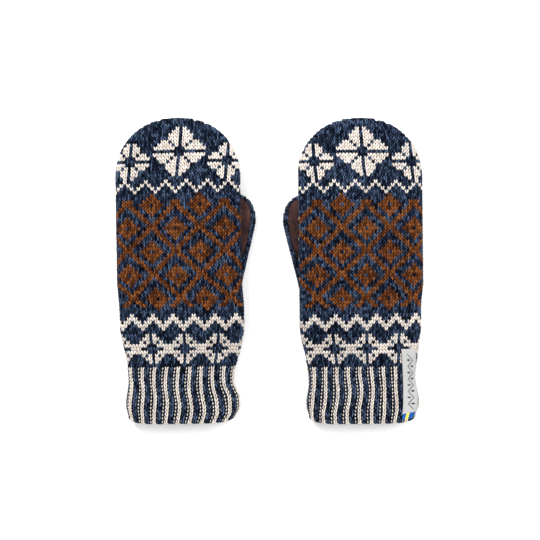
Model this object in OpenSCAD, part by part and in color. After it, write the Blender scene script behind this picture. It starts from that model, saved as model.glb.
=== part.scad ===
// Pair of lined knitted mittens, lying flat with the palms down.
// +X runs across the pair, +Y towards the fingertips, +Z up from the table.
// Each mitten is drawn once, in its own frame: x towards the thumb, y towards
// the fingertips, z up. The right mitten is its mirror image.

/* [Pair] */
// Distance between the middle lines of the two mittens
pair_pitch = 155; // [150:1:220]
// Turn of the left mitten on the table, in degrees
left_turn = 0.9; // [0:0.1:2]
// Turn of the right mitten on the table, in degrees
right_turn = 0.6; // [0:0.1:2]

/* [Hand] */
// Length from the cuff's edge to the fingertips
mitten_l = 261; // [250:1:275]
// Width of the hand laid flat
hand_w = 106; // [100:1:110]
// Thickness of the hand laid flat, both layers and the air between
hand_t = 16; // [15:0.5:20]
// Length of the rounded end over the fingertips
tip_l = 51.5; // [40:0.5:55]
// Rise of the back's middle above its edges
crown = 1.6; // [0:0.1:3]

/* [Cuff] */
// Height of the ribbed cuff
cuff_l = 48; // [40:1:55]
// Width at the wrist, where the mitten is narrowest
wrist_w = 89; // [84:1:94]
// Thickness at the wrist
wrist_t = 15; // [14.5:0.5:18]
// Width of the cuff's open end
mouth_w = 93.5; // [90:0.5:98]
// Thickness of the cuff's open end
mouth_t = 19; // [16:0.5:24]
// Number of ribs round the cuff
ribs = 20; // [16:1:24]
// Depth of the grooves between the ribs
rib_depth = 0.9; // [0.4:0.1:1.2]

/* [Thumb] */
// Length of the thumb from the middle of its root to its end
thumb_l = 82; // [70:1:86]
// Width of the thumb laid flat
thumb_w = 36.6; // [32:0.2:38]
// Thickness of the thumb laid flat
thumb_t = 13; // [12.5:0.1:14]
// Lean of the thumb away from the hand, in degrees
thumb_lean = 12; // [9:0.5:14]
// Radius of the round collar that joins the thumb to the palm
collar_r = 13; // [11:0.5:13]
// Free space between the collar and the edge of the palm's hole
collar_gap = 0.4; // [0.3:0.1:0.6]

/* [Layers] */
// Thickness of the outer knit
knit_t = 2; // [1.8:0.1:2.2]
// Thickness of the wool lining
lining_t = 1.6; // [1.4:0.1:1.8]
// Air between the knit and the lining
layer_gap = 0.3; // [0.2:0.05:0.4]
// Thickness of the leather patches
leather_t = 1.2; // [0.8:0.1:1.3]
// Width of the line of thread along a patch's edge
thread_w = 0.9; // [0.6:0.1:1.2]

/* [Label] */
// Length of the woven label
label_l = 56; // [50:1:58]
// Width of the woven label, measured over the fold of the side
label_w = 12; // [10:1:16]
// Thickness of the woven label
label_t = 0.8; // [0.6:0.1:1]
// Length of ribbon that shows below the label
tab_l = 4.4; // [3:0.2:5]

/* [Hidden] */

LEFT = -1;
RIGHT = 1;

hand_half = hand_w / 2;
tip_end = mitten_l / 2;
mouth_y = -mitten_l / 2;
tip_y = tip_end - tip_l;        // where the rounded end starts
cuff_top = mouth_y + cuff_l;
wrist_y = mouth_y + 35;         // narrowest place
palm_y = -45;                   // full width from here to tip_y
flare_y = mouth_y + 18;         // the cuff has its full width from here down

root_x = 36;                    // middle of the thumb's root
root_y = -14;
root_r = 16;                    // rounded lower end of the thumb
thumb_tip_l = 20;               // rounded upper end of the thumb
thumb_tip_v = thumb_l - thumb_tip_l;
lining_hem = 3;                 // the lining stops this far inside the cuff
patch_gap = 0.4;                // free space between thumb and palm
rise = thumb_t + leather_t + patch_gap;

// The palm lies on the table on its outer side and climbs over the thumb.
climb_x = [-22, 13];
climb_y = [-80, -36];
settle_y = [71, 112];

// The palm patch, an oval with squared shoulders
patch_c = [-8, 8];
patch_half = [30, 46];
thumb_patch_c = [0, 48];        // across and along the thumb
thumb_patch_half = [14, 31];

label_y = -95.6;                // middle of the label's length
label_x = 34.5;                 // its inner edge, from the middle line
label_off = 0.15;               // it lies this far off the ribs
thread_off = 0.05;              // the thread lies this far outside a patch

ring_n = 44;                    // points round the hand
cuff_ring_n = 4 * ribs;
thumb_ring_n = 20;
patch_ring_n = 40;

// ---------- Curves ----------

function mix(a, b, t) = a + (b - a) * t;
function ease(a, b, v) = let (t = min(max((v - a) / (b - a), 0), 1)) t * t * (3 - 2 * t);
function plateau(a, b, c, d, v) = ease(a, b, v) * (1 - ease(c, d, v));
function dome(t, n, m) = pow(max(1 - pow(t, n), 0), 1 / m);

// A flattened tube's section: two straight sides joined by half circles.
// s runs from 0 to 1 along its edge, from the middle of the thumb side over the back.
function slot_at(s, w, r) =
    let (flat = 2 * (w - r), quarter = PI * r / 2,
         d = s * (2 * flat + 4 * quarter),
         a = d < quarter ? d
           : d < quarter + flat ? quarter
           : d < 3 * quarter + flat ? d - flat
           : d < 3 * quarter + 2 * flat ? 3 * quarter
           : d - 2 * flat,
         x = d < quarter ? w - r
           : d < quarter + flat ? w - r - (d - quarter)
           : d < 3 * quarter + flat ? r - w
           : d < 3 * quarter + 2 * flat ? r - w + (d - 3 * quarter - flat)
           : w - r,
         turn = a / r * 180 / PI)
    [x + r * cos(turn), r * sin(turn)];

// ---------- Hand ----------

function tip_t(y) = (y - tip_y) / tip_l;
function body_half(y) =
    y >= wrist_y ? mix(wrist_w / 2, hand_half, ease(wrist_y, palm_y, y))
                 : mix(mouth_w / 2, wrist_w / 2, ease(flare_y, wrist_y, y));
function body_thick(y) =
    y >= wrist_y ? mix(wrist_t, hand_t, ease(wrist_y, palm_y, y))
                 : mix(mouth_t, wrist_t, ease(mouth_y, wrist_y, y));

// Half width and thickness at a station, with the wall taken in by i
function hand_half_at(y, i) =
    y <= tip_y ? body_half(y) - i : (hand_half - i) * dome(tip_t(y), 2.1, 2.1);
function hand_thick_at(y, i) =
    y <= tip_y ? body_thick(y) - 2 * i : (hand_t - 2 * i) * dome(tip_t(y), 3.5, 2.5);
function hand_y_at(y, i) = y <= tip_y ? y : tip_y + (y - tip_y) * (1 - i / tip_l);

function patch_rise(x, y) =
    leather_t
    * plateau(patch_c[0] - patch_half[0] - 9, patch_c[0] - patch_half[0] - 2,
              patch_c[0] + patch_half[0] + 1, patch_c[0] + patch_half[0] + 8, x)
    * plateau(patch_c[1] - patch_half[1] - 12, patch_c[1] - patch_half[1] - 2,
              patch_c[1] + patch_half[1] + 2, patch_c[1] + patch_half[1] + 12, y);
function climb(x, y) =
    rise * ease(climb_x[0], climb_x[1], x)
    * plateau(climb_y[0], climb_y[1], settle_y[0], settle_y[1], y);
function lift(x, y) = climb(x, y) + patch_rise(x, y);

// Rise of the back at x, for a section of half width w and thickness t
function crown_at(x, y, w, t) =
    crown * ease(cuff_top, palm_y, y) * t / hand_t * max(1 - pow(x / w, 2), 0);

function hand_point(s, y, i) =
    let (w = hand_half_at(y, i), t = hand_thick_at(y, i), yy = hand_y_at(y, i),
         p = slot_at(s, w, t / 2),
         up = max(p[1], 0) / (t / 2) * crown_at(p[0], y, w, t))
    [p[0], yy, lift(p[0], yy) + i + t / 2 + p[1] + up];
function hand_ring(y, i) = [for (k = [0 : ring_n - 1]) hand_point(k / ring_n, y, i)];
function hand_tip(i) = [0, tip_end - i, 0.6 + i];

palm_stations = [-73, -64, -55, -46, -37, -20, -2, 16, 34, 52, 68, tip_y];
tip_stations = [for (a = [20, 38, 54, 68, 80]) tip_y + tip_l * sin(a)];
hand_stations = concat([cuff_top], palm_stations, tip_stations);
lining_stations = concat([mouth_y + lining_hem, -112, -96], hand_stations);

// ---------- Cuff ----------

function rib_in(k) = rib_depth * (1 - cos(360 * k / 4)) / 2;
function cuff_point(k, y, i, grooved) =
    let (g = i + (grooved ? rib_in(k) : 0), w = body_half(y) - g, t = body_thick(y) - 2 * g,
         p = slot_at(k / cuff_ring_n, w, t / 2))
    [p[0], y, lift(p[0], y) + g + t / 2 + p[1]];
function cuff_ring(y, i, grooved) =
    [for (k = [0 : cuff_ring_n - 1]) cuff_point(k, y, i, grooved)];
cuff_stations = [mouth_y, -122, flare_y, -104, wrist_y, cuff_top];

// ---------- Thumb ----------

// Each station: place along the thumb, share of the width, share of the thickness
thumb_stations = concat(
    [for (a = [-78, -60, -40, -20]) [root_r * sin(a), cos(a), pow(cos(a), 0.6)]],
    [for (v = [0, 20, 42, thumb_tip_v]) [v, 1, 1]],
    [for (a = [22, 44, 64, 80])
        [thumb_tip_v + thumb_tip_l * sin(a), pow(cos(a), 0.95), pow(cos(a), 0.6)]]);
function thumb_v_at(v, i) =
    v < 0 ? v * (1 - i / root_r)
          : v > thumb_tip_v ? thumb_tip_v + (v - thumb_tip_v) * (1 - i / thumb_tip_l) : v;
function thumb_half(v) = mix(root_r, thumb_w / 2, ease(0, thumb_tip_v, v));
function thumb_ring(st, i) =
    let (w = (thumb_half(st[0]) - i) * st[1], t = (thumb_t - 2 * i) * st[2])
    [for (k = [0 : thumb_ring_n - 1])
        let (p = slot_at(k / thumb_ring_n, w, t / 2))
        [p[0], thumb_v_at(st[0], i), i + t / 2 + p[1]]];

// ---------- Solids from rings ----------

function quads(k, n, a, b) =
    [for (j = [0 : n - 1]) let (m = (j + 1) % n)
        each [[a + k * n + j, b + k * n + m, b + k * n + j],
              [a + k * n + j, a + k * n + m, b + k * n + m]]];
function flip(faces) = [for (f = faces) [f[2], f[1], f[0]]];
function band_faces(m, n, from) = [for (k = [0 : m - 2]) each quads(k, n, from, from + n)];
function fan(ring, n, pole) = [for (j = [0 : n - 1]) [pole, ring + j, ring + (j + 1) % n]];

// A sock: an outer and an inner skin, each closed at the far end, joined at the near end
module sock(outer, outer_tip, inner, inner_tip) {
    n = len(outer[0]);
    m = len(outer);
    in0 = m * n + 1;
    polyhedron(
        points = concat([for (r = outer) each r], [outer_tip],
                        [for (r = inner) each r], [inner_tip]),
        faces = concat(band_faces(m, n, 0), fan((m - 1) * n, n, m * n),
                       flip(band_faces(m, n, in0)), flip(fan(in0 + (m - 1) * n, n, in0 + m * n)),
                       flip(quads(0, n, 0, in0))));
}

// A sleeve: the same with both ends open
module sleeve(outer, inner) {
    n = len(outer[0]);
    m = len(outer);
    in0 = m * n;
    polyhedron(
        points = concat([for (r = outer) each r], [for (r = inner) each r]),
        faces = concat(band_faces(m, n, 0), flip(band_faces(m, n, in0)),
                       flip(quads(0, n, 0, in0)), quads(0, n, (m - 1) * n, in0 + (m - 1) * n)));
}

// A pod: one skin closed at both ends
module pod(rings, near, far) {
    n = len(rings[0]);
    m = len(rings);
    polyhedron(
        points = concat([for (r = rings) each r], [near, far]),
        faces = concat(band_faces(m, n, 0), fan((m - 1) * n, n, m * n + 1), flip(fan(0, n, m * n))));
}

// ---------- Leather patches and their thread ----------

function squircle(a, half, grow) =
    [(half[0] + grow) * sign(cos(a)) * pow(abs(cos(a)), 0.78),
     (half[1] + grow) * sign(sin(a)) * pow(abs(sin(a)), 0.78)];

module oval(c, half, grow) {
    polygon([for (k = [0 : patch_ring_n - 1]) c + squircle(360 * k / patch_ring_n, half, grow)]);
}

// The line of thread just outside an oval
module oval_line(c, half) {
    difference() {
        oval(c, half, thread_off + thread_w);
        oval(c, half, thread_off);
    }
}

// A layer over a form, or under it with negative heights, from near to far.
// The first child is its outline, the second the form it lies on.
module layer_on(near, far) {
    intersection() {
        linear_extrude(rise + hand_t) children(0);
        difference() {
            translate([0, 0, far]) children(1);
            translate([0, 0, near]) children(1);
        }
    }
}

// ---------- Label ----------

// A point on the outer side of the mitten, d along the surface from the label's inner edge
function side_point(d, y, off) =
    let (w = body_half(y) + off, r = body_thick(y) / 2 + off, bend = w - r,
         flat = max(bend - label_x, 0), a = max(d - flat, 0) / r * 180 / PI,
         x = d < flat ? label_x + d : bend + r * sin(a))
    [-x, y, r - off + r * cos(a) + crown_at(x, y, w, 2 * r)];

module side_strip(y0, y1, steps, low, high) {
    cols = 6;
    rows = steps + 1;
    grid = function(off) [for (j = [0 : steps]) each
        [for (k = [0 : cols]) side_point(label_w * k / cols, mix(y0, y1, j / steps), off)]];
    n = cols + 1;
    top0 = rows * n;
    cells = [for (j = [0 : steps - 1]) for (k = [0 : cols - 1]) j * n + k];
    edge = concat([for (k = [0 : cols]) k], [for (j = [1 : steps]) j * n + cols],
                  [for (k = [cols - 1 : -1 : 0]) steps * n + k], [for (j = [steps - 1 : -1 : 1]) j * n]);
    m = len(edge);
    polyhedron(
        points = concat(grid(low), grid(high)),
        faces = concat(
            [for (c = cells) each [[c, c + n + 1, c + 1], [c, c + n, c + n + 1]]],
            [for (c = cells) each [[top0 + c, top0 + c + 1, top0 + c + n + 1],
                                   [top0 + c, top0 + c + n + 1, top0 + c + n]]],
            [for (k = [0 : m - 1]) let (a = edge[k], b = edge[(k + 1) % m])
                each [[a, b, top0 + a], [b, top0 + b, top0 + a]]]));
}

// ---------- Placing ----------

module mitten(side) {
    turn = side == LEFT ? left_turn : right_turn;
    translate([side * pair_pitch / 2, 0, 0])
        rotate([0, 0, turn])
            if (side == RIGHT) mirror([1, 0, 0]) children();
            else children();
}

module at_thumb() {
    translate([root_x, root_y, 0]) rotate([0, 0, -thumb_lean]) children();
}

module palm_hole() {
    translate([root_x, root_y, 0])
        cylinder(r = collar_r + collar_gap, h = rise + hand_t / 2, $fn = 64);
}

// ---------- Sub-parts ----------

module hand_shell() {
    color("#2b3c5c") difference() {
        sock([for (y = hand_stations) hand_ring(y, 0)], hand_tip(0),
             [for (y = hand_stations) hand_ring(y, knit_t)], hand_tip(knit_t));
        palm_hole();
    }
}

module cuff() {
    color("#8f8f96")
        sleeve([for (y = cuff_stations) cuff_ring(y, 0, true)],
               [for (y = cuff_stations) cuff_ring(y, knit_t, false)]);
}

module hand_lining() {
    out = knit_t + layer_gap;
    color("#d9cfbf") difference() {
        sock([for (y = lining_stations) hand_ring(y, out)], hand_tip(out),
             [for (y = lining_stations) hand_ring(y, out + lining_t)], hand_tip(out + lining_t));
        palm_hole();
    }
}

module hand_form() {
    pod([for (y = hand_stations) hand_ring(y, 0)], [0, cuff_top, hand_t / 2], hand_tip(0));
}

module palm_patch() {
    color("#4a2e28") layer_on(-0.05, -leather_t) {
        oval(patch_c, patch_half, 0);
        hand_form();
    }
}

module palm_stitching() {
    color("#2a1c18") layer_on(-0.1, 0.2 - leather_t) {
        oval_line(patch_c, patch_half);
        hand_form();
    }
}

module thumb_pod(i) {
    pod([for (st = thumb_stations) thumb_ring(st, i)],
        [0, i - root_r, thumb_t / 2], [0, thumb_l - i, thumb_t / 2]);
}

module thumb_shell() {
    collar_top = rise + leather_t + knit_t + layer_gap + lining_t + 0.6;
    color("#2b3c5c") at_thumb() difference() {
        union() {
            thumb_pod(0);
            translate([0, 0, thumb_t / 2])
                cylinder(r = collar_r, h = collar_top - thumb_t / 2, $fn = 64);
        }
        thumb_pod(knit_t);
        translate([0, 0, thumb_t / 2])
            cylinder(r = collar_r - knit_t, h = collar_top, $fn = 64);
    }
}

module thumb_lining() {
    out = knit_t + layer_gap;
    color("#d9cfbf") at_thumb() difference() {
        thumb_pod(out);
        thumb_pod(out + lining_t);
        translate([0, 0, thumb_t / 2])
            cylinder(r = collar_r - knit_t - layer_gap, h = thumb_t, $fn = 64);
    }
}

module thumb_patch() {
    color("#4a2e28") at_thumb() layer_on(0.05, leather_t) {
        oval(thumb_patch_c, thumb_patch_half, 0);
        thumb_pod(0);
    }
}

module thumb_stitching() {
    color("#2a1c18") at_thumb() layer_on(0.08, leather_t - 0.3) {
        oval_line(thumb_patch_c, thumb_patch_half);
        thumb_pod(0);
    }
}

module woven_label() {
    color("#c9c6c0")
        side_strip(label_y - label_l / 2, label_y + label_l / 2, 12, label_off, label_off + label_t);
}

module ribbon_tab() {
    end_y = label_y - label_l / 2 - 0.1;
    color("#2f4f8f")
        side_strip(end_y - tab_l, end_y, 2, label_off, label_off + 2 * label_t);
}

module label_stitching() {
    stitches = 6;
    pitch = label_w / (stitches + 0.5);
    color("#8d8a86") for (end = [-1, 1]) for (k = [0 : stitches - 1]) {
        d = (k + 0.75) * pitch;
        y = label_y + end * (label_l / 2 - 1.5);
        p = side_point(d, y, label_off + label_t + 0.05);
        q = side_point(d + 0.1, y, label_off + label_t + 0.05);
        translate(p) rotate([0, atan2(q[2] - p[2], p[0] - q[0]), 0])
            translate([-0.7, -0.3, 0]) cube([1.4, 0.6, 0.35]);
    }
}

mitten(LEFT) hand_shell();  // left_hand_shell
mitten(LEFT) cuff();  // left_cuff
mitten(LEFT) hand_lining();  // left_hand_lining
mitten(LEFT) palm_patch();  // left_palm_patch
mitten(LEFT) palm_stitching();  // left_palm_stitching
mitten(LEFT) thumb_shell();  // left_thumb_shell
mitten(LEFT) thumb_lining();  // left_thumb_lining
mitten(LEFT) thumb_patch();  // left_thumb_patch
mitten(LEFT) thumb_stitching();  // left_thumb_stitching
mitten(RIGHT) hand_shell();  // right_hand_shell
mitten(RIGHT) cuff();  // right_cuff
mitten(RIGHT) hand_lining();  // right_hand_lining
mitten(RIGHT) palm_patch();  // right_palm_patch
mitten(RIGHT) palm_stitching();  // right_palm_stitching
mitten(RIGHT) thumb_shell();  // right_thumb_shell
mitten(RIGHT) thumb_lining();  // right_thumb_lining
mitten(RIGHT) thumb_patch();  // right_thumb_patch
mitten(RIGHT) thumb_stitching();  // right_thumb_stitching
mitten(RIGHT) woven_label();
mitten(RIGHT) label_stitching();
mitten(RIGHT) ribbon_tab();
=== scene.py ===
# %% [markdown]
# # A pair of knitted mittens
# Two wool mittens lie side by side with their palms down. Each has a colourwork
# back, a ribbed cuff, a thumb that peeps out from under the hand, leather on palm
# and thumb, and a soft lining. The knit is real geometry here: every stitch is two
# little legs of yarn laid on the mitten's surface, so the light finds each V.
# We work in millimetres and turn to metres when a mesh is written.

# %% Tools and the fixed frame
import math

import bpy
import numpy as np
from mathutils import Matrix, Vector


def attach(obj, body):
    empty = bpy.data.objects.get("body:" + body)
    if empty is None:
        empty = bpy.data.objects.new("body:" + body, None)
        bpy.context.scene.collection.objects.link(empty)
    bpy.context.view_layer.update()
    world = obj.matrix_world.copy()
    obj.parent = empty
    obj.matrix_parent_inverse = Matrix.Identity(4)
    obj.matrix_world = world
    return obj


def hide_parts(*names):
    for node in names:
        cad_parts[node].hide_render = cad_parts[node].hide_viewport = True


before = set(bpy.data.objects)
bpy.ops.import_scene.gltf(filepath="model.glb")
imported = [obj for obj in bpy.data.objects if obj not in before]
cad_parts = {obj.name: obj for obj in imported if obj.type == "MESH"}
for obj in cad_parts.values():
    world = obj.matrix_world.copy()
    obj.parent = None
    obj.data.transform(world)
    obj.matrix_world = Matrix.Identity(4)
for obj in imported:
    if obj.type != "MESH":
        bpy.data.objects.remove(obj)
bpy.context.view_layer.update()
MM = 0.001

# %% [markdown]
# ## Camera, floor and light
# The mittens are seen from straight above. A long lens from far away keeps the
# sides from leaning. A big soft light from one side lets each stitch cast a small
# shadow on the next, and the pale world fills the rest.

# %% Camera
VIEW_WIDTH = 459  # of the floor at the mittens' height, seen across the picture
LENS = 110
SENSOR = 36
VIEW_PLANE = 18  # height of the middle of the backs

cam_data = bpy.data.cameras.new("camera")
cam_data.lens, cam_data.sensor_width = LENS, SENSOR
camera = bpy.data.objects.new("camera", cam_data)
bpy.context.scene.collection.objects.link(camera)
camera.location = (0, 0, (VIEW_WIDTH * LENS / SENSOR + VIEW_PLANE) * MM)
bpy.context.scene.camera = camera
bpy.context.scene.view_settings.view_transform = "Standard"  # colours as they are mixed
print("camera height", round(camera.location.z, 3))

# %% Floor and backdrop
def plain_material(name, colour, rough):
    mat = bpy.data.materials.new(name)
    mat.use_nodes = True
    shader = mat.node_tree.nodes["Principled BSDF"]
    shader.inputs["Base Color"].default_value = (*colour, 1)
    shader.inputs["Roughness"].default_value = rough
    return mat


bpy.ops.object.select_all(action="DESELECT")
bpy.ops.mesh.primitive_plane_add(size=8, location=(0, 0, -0.0005))
floor = bpy.context.object
floor.name = "floor"
floor.data.materials.append(plain_material("pale floor", (0.93, 0.93, 0.93), 0.9))
print("floor", floor.dimensions[:2])

# %% Lights
def area_light(name, place, power, size):
    data = bpy.data.lights.new(name, "AREA")
    data.energy, data.size = power, size
    ob = bpy.data.objects.new(name, data)
    ob.location = place
    ob.rotation_euler = (-Vector(place)).to_track_quat("-Z", "Y").to_euler()
    bpy.context.scene.collection.objects.link(ob)


area_light("key", (-0.55, 0.8, 1.05), 20, 0.5)
area_light("fill", (0.8, 0.35, 1.1), 13, 0.8)
world = bpy.data.worlds.new("studio")
world.use_nodes = True
world.node_tree.nodes["Background"].inputs["Color"].default_value = (1, 1, 1, 1)
world.node_tree.nodes["Background"].inputs["Strength"].default_value = 1.02
bpy.context.scene.world = world

# %% [markdown]
# ## The mitten's form
# One mitten is described once, in its own frame: x towards the thumb, y towards
# the fingertips, z up from the table. The right one is the mirror image. A section
# of the hand is a flattened tube, two straight sides joined by half circles. The
# palm lies on the table on its outer side and climbs over the thumb on the inner
# one. The hand has the solid model's curves, so the pieces fit it; the thumb is a
# little shorter and slimmer than the solid one.

# %% Measures of the hand and cuff
PITCH, TURN = 155, {"left": 0.9, "right": 0.6}
HALF, THICK, TIP, TIP_LEN = 53, 16, 130.5, 51.5
TIP_Y = TIP - TIP_LEN
MOUTH_Y, CUFF_TOP, WRIST_Y, PALM_Y, FLARE_Y = -130.5, -82.5, -95.5, -45, -112.5
WRIST_HALF, WRIST_THICK, MOUTH_HALF, MOUTH_THICK = 44.5, 15, 46.75, 19
CROWN, LEATHER = 1.6, 1.2
RISE = 14.6  # thumb, its leather and a little room
PATCH_MID, PATCH_HALF = (-8, 8), (30, 46)


def ease(a, b, v):
    t = np.clip((v - a) / (b - a), 0, 1)
    return t * t * (3 - 2 * t)


def plateau(a, b, c, d, v):
    return ease(a, b, v) * (1 - ease(c, d, v))


def dome(t, n, m):
    return np.maximum(1 - np.clip(t, 0, 1) ** n, 0) ** (1 / m)


def mix(a, b, t):
    return a + (b - a) * t


print("hand from", CUFF_TOP, "to", TIP)

# %% Section and surface of the hand
def section(arc, half, r):
    """x and z of a flattened tube, arc along its edge from the middle of the top."""
    flat, bend = half - r, math.pi * r
    around = 4 * flat + 2 * bend
    d = np.mod(arc + around / 2, around) - around / 2
    side, d = np.sign(d), np.abs(d)
    turn = np.clip((d - flat) / np.maximum(r, 1e-6), 0, math.pi)
    x = np.where(d < flat, d, flat + r * np.sin(turn))
    x = np.where(d > flat + bend, 2 * flat + bend - d, x)
    return side * x, r * np.cos(turn)


def hand_half(y):
    body = np.where(
        y >= WRIST_Y,
        mix(WRIST_HALF, HALF, ease(WRIST_Y, PALM_Y, y)),
        mix(MOUTH_HALF, WRIST_HALF, ease(FLARE_Y, WRIST_Y, y)),
    )
    return body * dome((y - TIP_Y) / TIP_LEN, 2.1, 2.1)


def hand_thick(y):
    body = np.where(
        y >= WRIST_Y,
        mix(WRIST_THICK, THICK, ease(WRIST_Y, PALM_Y, y)),
        mix(MOUTH_THICK, WRIST_THICK, ease(MOUTH_Y, WRIST_Y, y)),
    )
    return body * dome((y - TIP_Y) / TIP_LEN, 3.5, 2.5)


def lift(x, y):
    (px, py), (hx, hy) = PATCH_MID, PATCH_HALF
    climb = RISE * ease(-22, 13, x) * plateau(-80, -36, 71, 112, y)
    over_patch = plateau(px - hx - 9, px - hx - 2, px + hx + 1, px + hx + 8, x)
    over_patch = over_patch * plateau(py - hy - 12, py - hy - 2, py + hy + 2, py + hy + 12, y)
    return climb + LEATHER * over_patch


def hand_at(arc, y, back=1, inset=0.0, share=False):
    """Points on the hand, arc from the middle of the back, or of the palm for back=-1.

    With share, arc is a share of the way round instead of a length.
    """
    y = np.minimum(y, TIP)
    yy = np.where(y > TIP_Y, TIP_Y + (y - TIP_Y) * (1 - inset / TIP_LEN), y)
    half = np.maximum(hand_half(y) * (1 - inset / HALF), 1e-4)
    thick = np.maximum(hand_thick(y) * (1 - 2 * inset / THICK), 1e-4)
    r = np.minimum(thick / 2, half)
    arc = arc * (4 * (half - r) + 2 * math.pi * r) if share else arc
    x, z = section(arc, half, r)
    z = z * back
    up = CROWN * ease(CUFF_TOP, PALM_Y, y) * thick / THICK * np.maximum(1 - (x / half) ** 2, 0)
    z_all = lift(x, yy) + inset + r + z + np.maximum(z, 0) / r * up
    return np.stack([x, yy + 0 * x, z_all], -1)


def hand_quarter(y):
    """Length of the section's edge from the middle of the back to the side."""
    r = np.minimum(hand_thick(y) / 2, hand_half(y))
    return hand_half(y) - r + math.pi * r / 2


print("quarter at the palm", round(float(hand_quarter(np.array(0.0))), 2))

# %% Surface of the thumb
ROOT, ROOT_R, LEAN = (36, -14), 16, 12
THUMB_HALF, THUMB_THICK, THUMB_TIP, THUMB_TIP_LEN = 17.4, 13, 79.5, 22
THUMB_TIP_V = THUMB_TIP - THUMB_TIP_LEN
COLLAR_R = 13


def thumb_ends(v, power):
    t = np.where(v < 0, -v / ROOT_R, np.maximum(v - THUMB_TIP_V, 0) / THUMB_TIP_LEN)
    return np.maximum(1 - np.clip(t, 0, 1) ** 2, 0) ** (power / 2)


def thumb_half(v):
    return mix(ROOT_R, THUMB_HALF, ease(0, THUMB_TIP_V, v)) * thumb_ends(v, 1.1)


def thumb_thick(v):
    return THUMB_THICK * thumb_ends(v, 0.6)


def thumb_to_hand(p):
    a = math.radians(LEAN)
    x, y = p[..., 0], p[..., 1]
    out = p.copy()
    out[..., 0] = ROOT[0] + x * math.cos(a) + y * math.sin(a)
    out[..., 1] = ROOT[1] - x * math.sin(a) + y * math.cos(a)
    return out


def thumb_at(arc, v, back=1, inset=0.0, share=False):
    v = np.clip(v, -ROOT_R, THUMB_TIP)
    half = np.maximum(thumb_half(v) * (1 - inset / THUMB_HALF), 1e-4)
    thick = np.maximum(thumb_thick(v) * (1 - 2 * inset / THUMB_THICK), 1e-4)
    vv = np.where(v < 0, v * (1 - inset / ROOT_R), v)
    vv = np.where(v > THUMB_TIP_V, THUMB_TIP_V + (v - THUMB_TIP_V) * (1 - inset / THUMB_TIP_LEN), vv)
    r = np.minimum(thick / 2, half)
    arc = arc * (4 * (half - r) + 2 * math.pi * r) if share else arc
    x, z = section(arc, half, r)
    return thumb_to_hand(np.stack([x, vv + 0 * x, THUMB_THICK / 2 + z * back], -1))


def thumb_quarter(v):
    r = np.minimum(thumb_thick(v) / 2, thumb_half(v))
    return thumb_half(v) - r + math.pi * r / 2


print("thumb quarter", round(float(thumb_quarter(np.array(40.0))), 2))

# %% [markdown]
# ## Wool
# Heathered yarn is spun from fibres of several shades, so no two stitches match.
# Each leg of yarn carries its own random tone, and a fine noise along it adds the
# flecks. One node group makes this from a dark, a middle and a light shade, and
# every yarn in the mittens uses it. Its bump is made of fibres and of the twist
# of the plies, which runs slantwise along each leg.

# %% Node helpers
COLOUR_A, COLOUR_B, MIXED = 6, 7, 2  # sockets of a Mix node that mixes colours


def add_node(tree, kind, at, inputs=None, **values):
    """A node at a place, with its settings and the values of its inputs."""
    n = tree.nodes.new("ShaderNode" + kind)
    n.location = at
    for key, value in values.items():
        setattr(n, key, value)
    for key, value in (inputs or {}).items():
        n.inputs[key].default_value = value
    return n


def math_node(tree, at, operation, a, b):
    n = add_node(tree, "Math", at, operation=operation)
    for socket, v in zip(n.inputs, (a, b)):
        if isinstance(v, (int, float)):
            socket.default_value = v
        else:
            tree.links.new(v, socket)
    return n.outputs[0]


def new_group(name, colours, numbers, outs):
    """A node group with its sockets, and its input and output nodes."""
    g = bpy.data.node_groups.new(name, "ShaderNodeTree")

    def socket(key, kind, way):
        return g.interface.new_socket(name=key, in_out=way, socket_type="NodeSocket" + kind)

    for key in colours:
        socket(key, "Color", "INPUT").default_value = (0.5, 0.5, 0.5, 1)
    for key, value in numbers.items():
        socket(key, "Float", "INPUT").default_value = value
    for key in outs:
        socket(key, "Color" if key == "Color" else "Float", "OUTPUT")
    inp, out = g.nodes.new("NodeGroupInput"), g.nodes.new("NodeGroupOutput")
    inp.location, out.location = (-1000, 200), (700, 0)
    return g, inp, out


def group_material(name, group, inputs, surface, strength, depth):
    """A material with a group's colour, height and, if it has one, roughness."""
    mat = bpy.data.materials.new(name)
    mat.use_nodes = True
    tree = mat.node_tree
    shader = tree.nodes["Principled BSDF"]
    for key, value in surface.items():
        shader.inputs[key].default_value = value
    look = add_node(tree, "Group", (-500, 200), inputs, node_tree=group)
    bump = add_node(tree, "Bump", (-250, -100), {"Strength": strength, "Distance": depth * MM})
    tree.links.new(look.outputs["Color"], shader.inputs["Base Color"])
    if "Roughness" in look.outputs:
        tree.links.new(look.outputs["Roughness"], shader.inputs["Roughness"])
    tree.links.new(look.outputs["Height"], bump.inputs["Height"])
    tree.links.new(bump.outputs["Normal"], shader.inputs["Normal"])
    return mat, look


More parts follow.
